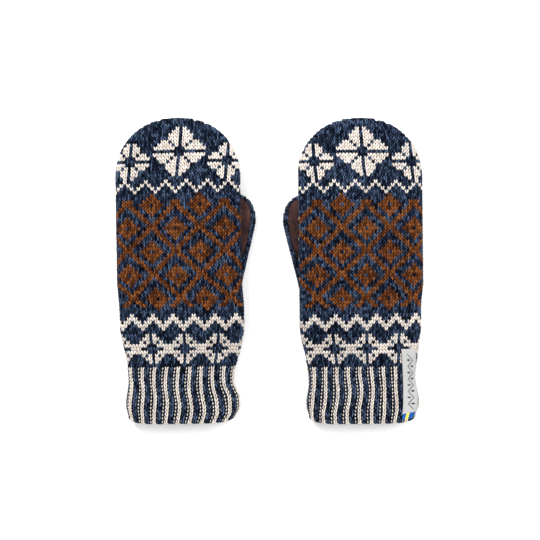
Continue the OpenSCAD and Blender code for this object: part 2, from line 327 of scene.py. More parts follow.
# %% Group: heathered yarn
def make_yarn_group():
    shades = ("Dark", "Middle", "Light")
    g, inp, out = new_group("heathered yarn", shades, {"Flecks": 0.5}, ("Color", "Height"))
    coord = add_node(g, "TexCoord", (-1200, -200))
    tone = add_node(g, "Attribute", (-1000, 0), attribute_name="tone")
    flecks = add_node(g, "TexNoise", (-1000, -200), {"Scale": 1100, "Detail": 3})
    g.links.new(coord.outputs["Object"], flecks.inputs["Vector"])
    spread = math_node(g, (-800, -200), "SUBTRACT", flecks.outputs["Fac"], 0.5)
    spread = math_node(g, (-650, -200), "MULTIPLY", spread, inp.outputs["Flecks"])
    shade = math_node(g, (-500, -50), "ADD", tone.outputs["Fac"], spread)
    low = add_node(g, "MapRange", (-300, 100), {"From Max": 0.5})
    high = add_node(g, "MapRange", (-300, -200), {"From Min": 0.5})
    dark = add_node(g, "Mix", (0, 200), data_type="RGBA")
    light = add_node(g, "Mix", (250, 100), data_type="RGBA")
    g.links.new(shade, low.inputs["Value"])
    g.links.new(shade, high.inputs["Value"])
    g.links.new(low.outputs[0], dark.inputs["Factor"])
    g.links.new(inp.outputs["Dark"], dark.inputs[COLOUR_A])
    g.links.new(inp.outputs["Middle"], dark.inputs[COLOUR_B])
    g.links.new(high.outputs[0], light.inputs["Factor"])
    g.links.new(dark.outputs[MIXED], light.inputs[COLOUR_A])
    g.links.new(inp.outputs["Light"], light.inputs[COLOUR_B])
    g.links.new(light.outputs[MIXED], out.inputs["Color"])
    fibre = add_node(g, "TexNoise", (-1000, -450), {"Scale": 2600})
    g.links.new(coord.outputs["Object"], fibre.inputs["Vector"])
    yarn = add_node(g, "UVMap", (-1200, -700), uv_map="Yarn")
    twist = {"Scale": 0.9, "Distortion": 0.6}
    plies = add_node(g, "TexWave", (-1000, -700), twist, bands_direction="DIAGONAL")
    g.links.new(yarn.outputs["UV"], plies.inputs["Vector"])
    height = math_node(g, (-700, -600), "ADD", fibre.outputs["Fac"], plies.outputs["Fac"])
    g.links.new(height, out.inputs["Height"])
    return g


YARN = make_yarn_group()


def yarn_material(name, dark, middle, light, flecks=0.9, rough=0.9, sheen=0.0):
    shades = {"Dark": (*dark, 1), "Middle": (*middle, 1), "Light": (*light, 1), "Flecks": flecks}
    surface = {
        "Roughness": rough, "Sheen Weight": sheen, "Sheen Roughness": 0.6, "Specular IOR Level": 0.05,
    }
    return group_material(name, YARN, shades, surface, 0.35, 0.15)[0]


WOOL = {
    "navy": yarn_material(
        "navy wool", (0.0006, 0.0012, 0.0045), (0.0115, 0.019, 0.039), (0.056, 0.086, 0.148), 1.45
    ),
    "cream": yarn_material(
        "cream wool", (0.41, 0.365, 0.33), (0.51, 0.46, 0.415), (0.58, 0.53, 0.48), 0.5
    ),
    "rust": yarn_material(
        "rust wool", (0.034, 0.0095, 0.003), (0.098, 0.030, 0.0085), (0.19, 0.066, 0.020), 1.0
    ),
}
print("yarns", list(WOOL))

# %% [markdown]
# ## One leg of yarn
# A knit stitch shows two legs that lean apart like a V. One leg is modelled once:
# a five-sided tube, cut across its middle, with its ends drawn in. Every stitch
# then gets two copies, bent and laid on the mitten by their own coordinates:
# x across the leg, y along it, z out of the fabric.

# %% The leg
def edit(ob, mode="EDIT"):
    bpy.ops.object.select_all(action="DESELECT")
    ob.select_set(True)
    bpy.context.view_layer.objects.active = ob
    bpy.ops.object.mode_set(mode=mode)


def flat_grid(name, cells, size):
    bpy.ops.object.select_all(action="DESELECT")
    bpy.ops.mesh.primitive_grid_add(x_subdivisions=cells[0], y_subdivisions=cells[1], size=size)
    ob = bpy.context.object
    ob.name = ob.data.name = name
    return ob


def coords(ob):
    co = np.empty(len(ob.data.vertices) * 3)
    ob.data.vertices.foreach_get("co", co)
    return co.reshape(-1, 3)


def set_coords(ob, co):
    ob.data.vertices.foreach_set("co", np.ascontiguousarray(co, dtype=float).ravel())
    ob.data.update()


bpy.ops.object.select_all(action="DESELECT")
bpy.ops.mesh.primitive_cylinder_add(
    vertices=5, radius=0.5, depth=0.72, end_fill_type="TRIFAN", rotation=(-math.pi / 2, 0, 0)
)
leg = bpy.context.object
bpy.ops.object.transform_apply(rotation=True)
edit(leg)
bpy.ops.mesh.select_all(action="SELECT")
bpy.ops.mesh.bisect(plane_co=(0, 0, 0), plane_no=(0, 1, 0))
bpy.ops.object.mode_set(mode="OBJECT")
leg_co = coords(leg)
middle = np.abs(leg_co[:, 1]) < 0.01
poles = np.hypot(leg_co[:, 0], leg_co[:, 2]) < 0.01
ends = ~middle & ~poles
leg_co[ends] *= (0.82, 1, 0.82)
leg_co[poles, 1] *= 0.5 / 0.36
set_coords(leg, leg_co)
LEG_CO = leg_co
LEG_FACES = [tuple(p.vertices) for p in leg.data.polygons]
LEG_AROUND = np.arctan2(leg_co[:, 2], leg_co[:, 0]) / (2 * math.pi)
bpy.data.objects.remove(leg)
print("leg:", len(LEG_CO), "points,", len(LEG_FACES), "faces")

# %% [markdown]
# ## Laying yarn on a surface
# `lay_yarn` takes a list of legs, each with its place on the surface, its lean,
# length, width and height over the surface, and makes one mesh of them. The mesh
# gets a tone for every leg, a flat fabric map for textures and a map along the
# yarn for its twist.

# %% Places in the row's frame
CUFF_REACH = 47
PRESS = 0.8
HEM_CORNER, HEM_TUCK = 4.2, 0.045  # the hem's corners round off, and the hem tucks in


def settle(x, y, side):
    """Neither mitten lies quite straight, and the soft cuff's hem rounds off at its sides."""
    low = ease(-112, MOUTH_Y, y)
    out_y = y + HEM_CORNER * np.minimum(np.abs(x) / CUFF_REACH, 1.05) ** 6 * low
    out_x = x * (1 - HEM_TUCK * low**2)
    if side == "left":
        flare = 2.6 * ease(8, 46, x) * plateau(-133, -122, -110, -96, y)
        return out_x + flare + 1.5 * plateau(-92, -70, -36, -6, y), out_y
    slim = 0.04 * np.minimum(out_x, 0) * plateau(-78, -60, -34, -8, y)
    swell = 1.1 * ease(40, 45, -out_x) * plateau(-126, -114, -104, -90, y)
    return out_x - slim - swell, out_y


def to_world(p, side):
    """From a mitten's own frame in mm to the row's frame in metres."""
    a = math.radians(TURN[side])
    sign = 1 if side == "left" else -1
    x, y = settle(p[..., 0], p[..., 1], side)
    x = x * sign
    out = np.empty_like(p)
    out[..., 0] = -sign * PITCH / 2 + x * math.cos(a) - y * math.sin(a)
    out[..., 1] = x * math.sin(a) + y * math.cos(a)
    # the yarn that the mitten lies on is pressed flat by the table
    pressed = PRESS * np.exp(np.minimum(p[..., 2] / PRESS - 1, 0))
    out[..., 2] = np.where(p[..., 2] < PRESS, pressed, p[..., 2])
    return out * MM


def frame_at(surface, a, b, back, step=0.25):
    """Points, and the outward normals there."""
    p = surface(a, b, back)
    across = surface(a + step, b, back) - surface(a - step, b, back)
    along = surface(a, b + step, back) - surface(a, b - step, back)
    n = np.cross(across, along) * back[..., None]
    return p, n / np.maximum(np.linalg.norm(n, axis=-1, keepdims=True), 1e-9)


# %% Many legs as one mesh
def make_mesh(name, points, faces, tone=None, fabric=None, yarn=None):
    mesh = bpy.data.meshes.new(name)
    mesh.from_pydata(points, [], faces)
    loops = np.empty(len(mesh.loops), dtype=int)
    mesh.loops.foreach_get("vertex_index", loops)
    for label, uv in (("OFBake", fabric), ("Yarn", yarn)):
        if uv is not None:
            layer = mesh.uv_layers.new(name=label)
            layer.data.foreach_set("uv", uv[loops].astype(np.float32).ravel())
    if tone is not None:
        attribute = mesh.attributes.new("tone", "FLOAT", "POINT")
        attribute.data.foreach_set("value", tone.astype(np.float32))
    mesh.polygons.foreach_set("use_smooth", np.ones(len(mesh.polygons), dtype=bool))
    mesh.update()
    ob = bpy.data.objects.new(name, mesh)
    bpy.context.scene.collection.objects.link(ob)
    return ob


def lay_yarn(name, surface, side, legs, material):
    """legs: rows of a, b, back, hand, lean, spread, length, width, height, tone."""
    a, b, back, hand, lean, foot, length, width, high, tone = np.asarray(legs, float).T[..., None]
    x, t, z = LEG_CO[:, 0], LEG_CO[:, 1], LEG_CO[:, 2]
    # middle line of the leg: closer together at the foot, upright at the top
    line_a = hand * (foot + lean * (0.5 + t - 0.35 * (t**2 - 0.25)))
    line_b = length * t
    slope = hand * lean * (1 - 0.7 * t)
    size = np.hypot(slope, length)
    pa = a + line_a + x * width * length / size
    pb = b + line_b - x * width * slope / size
    p, n = frame_at(surface, pa, pb, back + 0 * pa)
    out = high + 0.3 * np.cos(math.pi * t) + z * width * 0.9
    points = to_world(p + n * out[..., None], side)
    count, per = pa.shape
    flips = back[:, 0] * (1 if side == "left" else -1) < 0
    faces = []
    for k in range(count):
        start = k * per
        if flips[k]:
            faces += [tuple(start + v for v in reversed(f)) for f in LEG_FACES]
        else:
            faces += [tuple(start + v for v in f) for f in LEG_FACES]
    low = pa.min(), pb.min()
    span = max(pa.max() - low[0], pb.max() - low[1])
    fabric = np.stack([(pa - low[0]) / span, (pb - low[1]) / span], -1)
    yarn = np.stack([t + 0 * pa, LEG_AROUND + 0 * pa], -1) + tone[..., None] * 7
    ob = make_mesh(
        name, points.reshape(-1, 3), faces, np.repeat(tone[:, 0], per),
        fabric.reshape(-1, 2), yarn.reshape(-1, 2),
    )
    ob.data.materials.append(material)
    print(name, count, "legs,", len(ob.data.loop_triangles) or len(faces), "faces")
    return ob

# %% [markdown]
# ## The colourwork chart
# A knitter works from a chart: one cell per stitch, counted in columns from the
# middle line and in rows from the fingertips. The two halves mirror each other, so
# only one is drawn. The motifs are the plain ones of any pattern book, each made by
# a rule of counting: eight-petalled stars, solid lozenges, zigzags and a trellis.

# %% An empty chart and ways to draw on it
COLS, ROWS = 20, 75  # columns from the middle line out, rows from the tip down
NAVY, CREAM, RUST = 0, 1, 2
chart = np.zeros((ROWS, COLS), dtype=int)


def motif(col, row, size, yarn, inside):
    """Knit yarn round a middle stitch, where inside(far, near) holds: these are
    the larger and the smaller of the steps across and along."""
    for r in range(max(row - size, 0), min(row + size + 1, ROWS)):
        for c in range(max(col - size, 0), min(col + size + 1, COLS)):
            across, along = abs(c - col), abs(r - row)
            if inside(max(across, along), min(across, along)):
                chart[r, c] = yarn


def star(col, row, size, yarn):
    """Eight petals, with the crossing lines between them left in navy."""
    motif(col, row, size, yarn, lambda far, near: 1 <= near < far and far + near <= size + 1)


def lozenge(col, row, size, yarn, hole=-1):
    motif(col, row, size, yarn, lambda far, near: hole < far + near <= size)


def zigzag(row, yarn, wave=6, thick=2):
    for col in range(COLS):
        top = row + abs(col % wave - wave // 2)
        chart[top : top + thick, col] = yarn


print("chart", chart.shape)

# %% A rust trellis with a small lozenge in each opening
MESH, FIRST, LAST = 14, 25, 56  # size of the mesh, and its rows
MIDDLE = (FIRST + LAST) // 2
for row in range(FIRST, LAST + 1):
    for col in range(COLS):
        for step in (row, row + 1):  # each line is two stitches high
            if (step - MIDDLE + col) % MESH == 0 or (step - MIDDLE - col) % MESH == 0:
                chart[row, col] = RUST
for row in (MIDDLE - MESH // 2, MIDDLE + MESH // 2):
    lozenge(0, row, 3, RUST, hole=0)
    lozenge(MESH, row, 3, RUST, hole=0)
lozenge(MESH // 2, MIDDLE, 3, RUST, hole=0)
for row in (MIDDLE - MESH, MIDDLE + MESH):
    lozenge(MESH // 2, row, 3, RUST, hole=0)
print("trellis stitches", int((chart == RUST).sum()))

# %% Cream stars and zigzags at the tip and above the cuff
star(0, 10, 7, CREAM)
star(14, 13, 5, CREAM)
zigzag(19, CREAM, thick=1)
zigzag(59, CREAM)
for col in (0, 10, 20):
    star(col, 69, 4, CREAM)
for col in (5, 15):
    lozenge(col, 69, 1, CREAM)
for row in chart[:, ::-1]:
    print("".join(".ox"[v] for v in row))

# %% [markdown]
# ## Stitches of the hand
# Columns of stitches run straight up the back and the palm, as on a real mitten,
# and where the tip rounds off the outer columns end one by one. Below the palm
# they draw together towards the wrist. Each stitch has a hair of random shift, and
# the knit is left out where the thumb's collar comes through the palm.

# %% Random draws, and legs for one stitch
rng = np.random.default_rng(7)
COLUMN, ROW = 57.57 / 19.5, 213 / 75  # stitch width and height on the hand
LEG_WIDTH, LEG_LONG, LEG_FOOT, LEG_LEAN = 0.43, 1.28, 0.08, 0.34


def stitch(a, b, back, wide, tall, tone, high=0.0, plump=1.0):
    """The two legs of one knit stitch."""
    shift = rng.normal(0, 0.07, 2)
    turn = rng.normal(0, 0.03)
    legs = []
    for hand in (-1, 1):
        legs.append(
            (
                a + shift[0], b + shift[1], back, hand, wide * (LEG_LEAN + hand * turn),
                wide * LEG_FOOT, tall * LEG_LONG, wide * LEG_WIDTH * plump * rng.normal(1, 0.05),
                high + rng.normal(0, 0.05), np.clip(tone + rng.normal(0, 0.31), 0, 1),
            )
        )
    return legs


def fabric_tone(a, b):
    """Slow drift of shade over the fabric, and each stitch's own shade."""
    drift = 0.03 * math.sin(a * 0.11 + 1.3) + 0.03 * math.sin(b * 0.17)
    return 0.45 + drift + rng.normal(0, 0.08)


# %% The back and palm of each hand
def columns_in(quarter, wide):
    return int(math.floor((quarter - 0.3 * wide) / wide))


# How far the fabric is turned round the form, in mm, from the wrist to the tip
TWIST_Y = (-80, -40, -25, -13, 4, 20, 60, 77, 89, 106, 123)
TWIST = {
    "left": (2.6, 2.5, 1.7, 0.3, -1.3, -1.7, -1.5, -0.4, 0.9, 2.7, 3.7),
    "right": (-4.7, -3.9, -3.5, -3.4, -3.9, -4.1, -4.1, -3.8, -2.4, -1.7, -0.7),
}


def palm_yarn(col, row):
    """Small seeds of cream and rust scattered on navy."""
    if (row + 3 * (col % 2)) % 6 == 0 and col % 2 == 0:
        return CREAM
    return RUST if (row + 3) % 6 == 0 and col % 2 == 0 else NAVY


LABEL_X, LABEL_WIDE, LABEL_Y = 34.5, 12, (-123.6, -67.6)


def under_label(a, y, back, side):
    return (
        side == "right" and back > 0 and LABEL_Y[0] < y < LABEL_Y[1]
        and -LABEL_X - LABEL_WIDE - 1 < a < -LABEL_X + 1
    )


TUNNEL_Z = 6  # palm above this height faces the thumb, and its stitches lie flatter


def near_root(p, reach):
    return math.hypot(p[0] - ROOT[0], p[1] - ROOT[1]) < reach


# The motifs' yarns lie on top of the navy one and spread a little over it
PLUMP = {NAVY: 1.0, CREAM: 1.26, RUST: 1.18}


def hand_stitches(side, back):
    legs = {NAVY: [], CREAM: [], RUST: []}
    for row in range(ROWS):
        y = TIP - ROW * (row + 0.5)
        quarter = float(hand_quarter(np.array(y)))
        wide = COLUMN if y > PALM_Y else quarter / 19.5
        twist = back * float(np.interp(y, TWIST_Y, TWIST[side]))
        for col in range(1 - COLS, COLS):
            a = col * wide + twist
            if y > TIP_Y and abs(a) > quarter - 0.35 * wide:
                continue
            p = hand_at(np.array(a), np.array(y), back)
            if back < 0 and near_root(p, COLLAR_R + 1.6):
                continue
            yarn = chart[row, abs(col)] if back > 0 else palm_yarn(abs(col), row)
            over_thumb = back < 0 and p[2] > TUNNEL_Z
            high = -0.75 if over_thumb else -0.5 if under_label(a, y, back, side) else 0.0
            plump = PLUMP[yarn] if back > 0 else 1.0
            legs[yarn] += stitch(a, y, back, wide, ROW, fabric_tone(a, y), high, plump)
    return legs


YARN_NAMES = {NAVY: "navy", CREAM: "cream", RUST: "rust"}
for side in ("left", "right"):
    for face, back in (("back", 1), ("palm", -1)):
        for yarn, legs in hand_stitches(side, back).items():
            name = YARN_NAMES[yarn]
            ob = lay_yarn(f"{side}_{face}_{name}", hand_at, side, legs, WOOL[name])
            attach(ob, f"{side}_hand")

# %% [markdown]
# ## The ribbed cuff
# The cuff is corrugated rib: a raised column of cream knit, a sunk column of navy,
# and a line of small cream purl bumps beside the next rib. Twenty ribs go round.
# The ribs wander a little, as soft cuffs do, and a row of loops binds the edge.

# %% Ribs
RIBS, CUFF_ROWS = 20, 16
CUFF_ROW = (CUFF_TOP - MOUTH_Y) / CUFF_ROWS
RIB_START = {"left": -2.8, "right": 1.5}


def nearest_face(a, around):
    """The same place, measured from the middle of the back or of the palm."""
    a = (a + around / 2) % around - around / 2
    if abs(a) <= around / 4:
        return a, 1
    return math.copysign(around / 2 - abs(a), a), -1


def wander(a, b, side):
    """Sideways drift of the ribs, in mm, growing towards the open end."""
    down = float(ease(CUFF_TOP, MOUTH_Y, b))
    seed = 0.4 if side == "left" else 1.9
    return 1.5 * down * math.sin(b * 0.10 + seed) + 0.5 * math.sin(b * 0.2 + a * 0.07)


def rib_places(side, y, parts):
    """Each rib's parts at y: its place on a face, the face, and the rest of the part."""
    way = 1 if side == "left" else -1
    around = 4 * float(hand_quarter(np.array(float(y))))
    rib = around / RIBS
    for k in range(RIBS):
        base = (k - RIBS // 2) * rib + RIB_START[side]
        base += wander(base, y, side)
        for place, *rest in parts:
            yield *nearest_face(base + way * place * rib, around), *rest


# Share of the rib, yarn, width and height of a stitch; width 0 is a purl bump
RIB_PARTS = (
    (0, CREAM, 2.7, 0.45), (0.38, NAVY, 3.4, -0.25), (0.69, CREAM, 0, 0), (0.85, NAVY, 0, 0),
)
# Share of the rib, yarn, width and how far the turned stitch starts above the edge
EDGE_PARTS = (
    (-0.13, CREAM, 1.5, 0.2), (0.10, CREAM, 1.5, 0.2), (0.36, NAVY, 1.9, 0.6),
    (0.58, NAVY, 1.7, 0.7), (0.78, NAVY, 1.5, 0.8),
)


def cuff_stitches(side):
    legs = {CREAM: [], NAVY: []}
    for row in range(CUFF_ROWS):
        y = CUFF_TOP - CUFF_ROW * (row + 0.5)
        for a, back, yarn, wide, high in rib_places(side, y, RIB_PARTS):
            press = -0.5 if under_label(a, y, back, side) else 0.0
            tone = fabric_tone(a, y) + (0.1 if yarn == NAVY else 0.0)
            if wide:
                plump = PLUMP[yarn] * (0.95 if yarn == CREAM else 1.0)
                legs[yarn] += stitch(a, y, back, wide, CUFF_ROW, tone, high + press, plump)
            else:
                up, across, long = (0.0, 1.15, 2.2) if yarn == CREAM else (-0.5, 1.0, 2.9)
                across *= rng.uniform(0.8, 1.05)
                shy = rng.uniform(-0.25, 0.05) + press
                legs[yarn].append((a, y, back, 1, 0.1, 0, long, across, up + shy, tone))
    return legs


def cuff_edge(side):
    """The last stitch of each rib, turned over the open end."""
    legs = {CREAM: [], NAVY: []}
    for a, back, yarn, wide, drop in rib_places(side, MOUTH_Y, EDGE_PARTS):
        # A lower tone than the rest of the cuff: painted shade where the edge turns under
        tone = 0.35 + rng.normal(0, 0.1)
        for up, high, long in ((drop, 0.0, 1.7), (0.1, -0.95, 1.3), (0.3, -1.75, 1.3)):
            y = MOUTH_Y + up
            legs[yarn].append((a, y, back, 1, 0.1, 0, long, wide * 1.15, high, tone))
    return legs


for side in ("left", "right"):
    rows, edge = cuff_stitches(side), cuff_edge(side)
    for yarn in (CREAM, NAVY):
        name = YARN_NAMES[yarn]
        ob = lay_yarn(f"{side}_cuff_{name}", hand_at, side, rows[yarn] + edge[yarn], WOOL[name])
        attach(ob, f"{side}_hand")

# %% [markdown]
# ## The thumb's stitches
# The thumb is knitted in the round too. Its columns run from the root to its
# rounded tip, and the leather on its upper face takes the place of some of them.

# %% Thumb knit
THUMB_COLS = 7.5
OVAL_POWER = 0.78
THUMB_PATCH_MID, THUMB_PATCH_HALF = (0, 46.5), (13.6, 29.5)


def in_oval(x, y, mid, half, grow=0.0):
    power = 2 / OVAL_POWER
    u, v = abs(x - mid[0]) / (half[0] + grow), abs(y - mid[1]) / (half[1] + grow)
    return u**power + v**power < 1


def thumb_stitches():
    legs = []
    full = float(thumb_quarter(np.array(float(THUMB_TIP_V))))
    rows = int((THUMB_TIP + ROOT_R) / ROW)
    for row in range(rows):
        v = THUMB_TIP - ROW * (row + 0.5)
        quarter = float(thumb_quarter(np.array(v)))
        wide = full / THUMB_COLS if v > THUMB_TIP_V else float(
            thumb_quarter(np.array(max(v, 0.0)))) / THUMB_COLS
        reach = columns_in(quarter, wide)
        for back in (1, -1):
            for col in range(-reach, reach + 1):
                a = col * wide
                if back > 0 and in_oval(a, v, THUMB_PATCH_MID, THUMB_PATCH_HALF, -1.6):
                    continue
                if back > 0 and math.hypot(a, v) < COLLAR_R - 0.5:
                    continue
                legs += stitch(a, v, back, wide, ROW, fabric_tone(a, v))
    return legs


for side in ("left", "right"):
    ob = lay_yarn(f"{side}_thumb_navy", thumb_at, side, thumb_stitches(), WOOL["navy"])
    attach(ob, f"{side}_thumb")

# %% [markdown]
# ## The fabric under the stitches
# Between the legs of yarn one looks down on the floats and back loops behind them.
# A wool shell just under the stitches stands for them. Its navy is darker than the
# yarn's: painted shade for the gaps between the legs. It starts as a flat grid that
# is folded round the form and gets its wall with Solidify. The palm's shell is cut
# open where the thumb's collar comes through.

# %% Folding a grid round a form
def wrapped_grid(name, cells, place, side):
    """place(u, v) gives points for u round the form and v along it, each 0 to 1."""
    ob = flat_grid(name, cells, 1)
    co = coords(ob)
    set_coords(ob, to_world(place(co[:, 0] + 0.5, co[:, 1] + 0.5), side))
    edit(ob)
    bpy.ops.mesh.select_all(action="SELECT")
    bpy.ops.mesh.remove_doubles(threshold=0.02 * MM)
    bpy.ops.mesh.normals_make_consistent(inside=False)
    bpy.ops.object.mode_set(mode="OBJECT")
    bpy.ops.object.shade_smooth()
    return ob


def give_wall(ob, thick, offset=-1):
    """A wall that grows inwards, or both ways with offset 0."""
    solid = ob.modifiers.new("wall", "SOLIDIFY")
    solid.thickness, solid.offset = thick * MM, offset
    edit(ob, "OBJECT")
    bpy.ops.object.modifier_apply(modifier=solid.name)


def cut_round(ob, side, radius, low, high):
    """Cuts a round hole through ob, upright over the thumb's root."""
    where = to_world(np.array([[*ROOT, (low + high) / 2]], float), side)[0]
    bpy.ops.object.select_all(action="DESELECT")
    bpy.ops.mesh.primitive_cylinder_add(
        vertices=48, radius=radius * MM, depth=(high - low) * MM, location=where
    )
    cutter = bpy.context.object
    cut = ob.modifiers.new("hole", "BOOLEAN")
    cut.object, cut.operation = cutter, "DIFFERENCE"
    edit(ob, "OBJECT")
    bpy.ops.object.modifier_apply(modifier=cut.name)
    bpy.data.objects.remove(cutter)


def wear(ob, material):
    ob.data.materials.clear()
    ob.data.materials.append(material)


print("helpers for shells are ready")

# %% Wool shells and linings
HAND_BODY = 0.7  # share of a grid's rows that lie below the rounded tip
HAND_CELLS, THUMB_CELLS, CUFF_CELLS = (110, 90), (60, 60), (110, 16)  # round and along
HOLE_LOW, HOLE_HIGH = 8, 23  # the cut through the palm's shell


def hand_rows(v, start):
    end = TIP_Y + TIP_LEN * np.sin(np.clip((v - HAND_BODY) / (1 - HAND_BODY), 0, 1) * math.pi / 2)
    return np.where(v < HAND_BODY, mix(start, TIP_Y, v / HAND_BODY), end)


def hand_shell(name, side, start, inset, wall):
    ob = wrapped_grid(
        name, HAND_CELLS,
        lambda u, v: hand_at(u - 0.5, hand_rows(v, start), 1, inset, share=True), side,
    )
    give_wall(ob, wall)
    cut_round(ob, side, COLLAR_R + 0.5, HOLE_LOW, HOLE_HIGH)
    return ob


def thumb_rows(v):
    low, high = 0.18, 0.8
    foot = -ROOT_R * np.cos(np.clip(v / low, 0, 1) * math.pi / 2)
    end = THUMB_TIP_V + THUMB_TIP_LEN * np.sin(np.clip((v - high) / (1 - high), 0, 1) * math.pi / 2)
    return np.where(v < low, foot, np.where(v > high, end, THUMB_TIP_V * (v - low) / (high - low)))


def thumb_pod(name, side, inset, wall):
    ob = wrapped_grid(
        name, THUMB_CELLS,
        lambda u, v: thumb_at(u - 0.5, thumb_rows(v), 1, inset, share=True), side,
    )
    give_wall(ob, wall)
    cut_round(ob, side, COLLAR_R - 1.6, THUMB_THICK / 2, HOLE_HIGH)
    return ob


# Navy wool darker than the yarn itself: painted shade in the gaps between the stitches, over the wool
# that is really there
SHADED_GROUND_WOOL = yarn_material(
    "wool behind the stitches with painted shade", (0.002, 0.003, 0.008), (0.006, 0.010, 0.022), (0.014, 0.022, 0.045)
)
LINING = yarn_material(
    "wool lining", (0.30, 0.26, 0.22), (0.62, 0.56, 0.48), (0.85, 0.79, 0.70), 1.2, 0.95, 0.3
)
for side in ("left", "right"):
    made = [
        (hand_shell(f"{side}_hand_ground", side, CUFF_TOP - 1.5, 0.9, 0.9),
         SHADED_GROUND_WOOL, "hand", "hand_shell", "navy_knit"),
        (hand_shell(f"{side}_soft_lining", side, MOUTH_Y + 3, 2.6, 1.1),
         LINING, "hand", "hand_lining", "wool_lining"),
        (thumb_pod(f"{side}_thumb_ground", side, 0.9, 0.9),
         SHADED_GROUND_WOOL, "thumb", "thumb_shell", "navy_knit"),
        (thumb_pod(f"{side}_thumb_soft_lining", side, 2.5, 1.1),
         LINING, "thumb", "thumb_lining", "wool_lining"),
    ]
    cuff = wrapped_grid(
        f"{side}_cuff_ground", CUFF_CELLS,
        lambda u, v: hand_at(u - 0.5, mix(MOUTH_Y, CUFF_TOP, v), 1, 1.0, share=True), side,
    )
    give_wall(cuff, 0.9)
    made.append((cuff, SHADED_GROUND_WOOL, "hand", "cuff", "ribbed_knit"))
    for ob, mat, body, node, slot in made:
        wear(ob, mat)
        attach(ob, f"{side}_{body}")
        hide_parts(f"{side}_{node}")
        print(ob.name, len(ob.data.polygons), "faces")

# %% [markdown]
# ## The thumb's collar
# The thumb is sewn to the palm by a short knitted tube that stands in the palm's
# hole. It hides between the two, but it shows when the thumb swings, so it gets
# its wall and a few rounds of stitches like the rest.

# %% Collar
COLLAR_LOW, COLLAR_HIGH, COLLAR_COLS = 10.0, 19.0, 26
COLLAR_AROUND = 2 * math.pi * (COLLAR_R - 1)


def collar_at(arc, z, back=1):
    turn = arc / (COLLAR_R - 1)
    x = ROOT[0] + (COLLAR_R - 1) * np.cos(turn)
    y = ROOT[1] + (COLLAR_R - 1) * np.sin(turn)
    return np.stack([x, y, z + 0 * x], -1)


def collar_stitches():
    wide = COLLAR_AROUND / COLLAR_COLS
    legs = []
    for row in range(3):
        z = THUMB_THICK / 2 + ROW * (row + 1.2)
        for col in range(COLLAR_COLS):
            legs += stitch(col * wide, z, 1, wide, ROW, fabric_tone(col, z), -0.3)
    return legs


for side in ("left", "right"):
    tube = wrapped_grid(
        f"{side}_thumb_collar", (48, 6),
        lambda u, v: collar_at(COLLAR_AROUND * u, mix(COLLAR_LOW, COLLAR_HIGH, v)), side,
    )
    give_wall(tube, 1.0)
    # The collar's tube wears the same darkened wool: painted shade
    wear(tube, SHADED_GROUND_WOOL)
    knit = lay_yarn(f"{side}_collar_navy", collar_at, side, collar_stitches(), WOOL["navy"])
    for ob in (tube, knit):
        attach(ob, f"{side}_thumb")
    print(tube.name, len(tube.data.polygons), "faces")

# %% [markdown]
# ## Leather
# The palm and the upper face of the thumb wear a patch of thin brown hide. Hide has
# a pebbled grain, soft creases and a shade that drifts at random. Its colour follows
# the crease noise that also shapes its bump, so it is darker in the sunk creases:
# painted shade. All of that is one node group, driven by the piece's own
# coordinates, so both sizes of patch share the same scale of grain.

# %% Group: hide
def make_hide_group():
    outs = ("Color", "Roughness", "Height")
    g, inp, out = new_group("hide", ("Dark", "Light"), {"Grain Scale": 900}, outs)
    coord = add_node(g, "TexCoord", (-1100, -200))
    grain = add_node(g, "TexVoronoi", (-700, -100))
    g.links.new(inp.outputs["Grain Scale"], grain.inputs["Scale"])
    creased = {"Scale": 220, "Detail": 5, "Distortion": 0.8}
    crease = add_node(g, "TexNoise", (-700, -350), creased)
    drift = add_node(g, "TexNoise", (-700, 150), {"Scale": 55, "Detail": 4})
    for tex in (grain, crease, drift):
        g.links.new(coord.outputs["Object"], tex.inputs["Vector"])
    # Colour from the crease noise that also raises the bump: darker in the low creases, painted
    # shade, plus a random drift
    shade = math_node(g, (-450, 100), "MULTIPLY", crease.outputs["Fac"], 0.6)
    shade = math_node(g, (-300, 100), "ADD", shade, drift.outputs["Fac"])
    spread = add_node(g, "MapRange", (-150, 100), {"From Min": 0.62, "From Max": 1.02})
    g.links.new(shade, spread.inputs["Value"])
    colour = add_node(g, "Mix", (100, 150), data_type="RGBA")
    g.links.new(spread.outputs[0], colour.inputs["Factor"])
    g.links.new(inp.outputs["Dark"], colour.inputs[COLOUR_A])
    g.links.new(inp.outputs["Light"], colour.inputs[COLOUR_B])
    g.links.new(colour.outputs[MIXED], out.inputs["Color"])
    rough = add_node(g, "MapRange", (100, -100), {"To Min": 0.5, "To Max": 0.72})
    g.links.new(crease.outputs["Fac"], rough.inputs["Value"])
    g.links.new(rough.outputs[0], out.inputs["Roughness"])
    pebble = math_node(g, (-300, -150), "MULTIPLY", grain.outputs["Distance"], -0.5)
    height = math_node(g, (-100, -250), "ADD", pebble, crease.outputs["Fac"])
    g.links.new(height, out.inputs["Height"])
    return g


HIDE = make_hide_group()
LEATHER_LOOK = group_material(
    "brown leather", HIDE,
    {"Dark": (0.008, 0.0025, 0.0025, 1), "Light": (0.056, 0.021, 0.017, 1), "Grain Scale": 900},
    {"Specular IOR Level": 0.14}, 0.5, 0.4,
)[0]
print("leather sockets", [s.name for s in HIDE.interface.items_tree])

# %% [markdown]
# ## Patches
# A patch is a grid pressed into an oval with squared shoulders, bent over the mitten
# and given its wall. Its rim dips where the thread pulls it down. Around it runs a
# line of short running stitches in waxed thread.

# %% Oval outline and surface
PATCH_CELLS = (52, 76)


def oval_point(turn, half, grow=0.0):
    c, s = np.cos(turn), np.sin(turn)
    x = (half[0] + grow) * np.sign(c) * np.abs(c) ** OVAL_POWER
    y = (half[1] + grow) * np.sign(s) * np.abs(s) ** OVAL_POWER
    return x, y


def oval_area(half):
    p = 2 / OVAL_POWER
    return 4 * half[0] * half[1] * math.gamma(1 + 1 / p) ** 2 / math.gamma(1 + 2 / p)


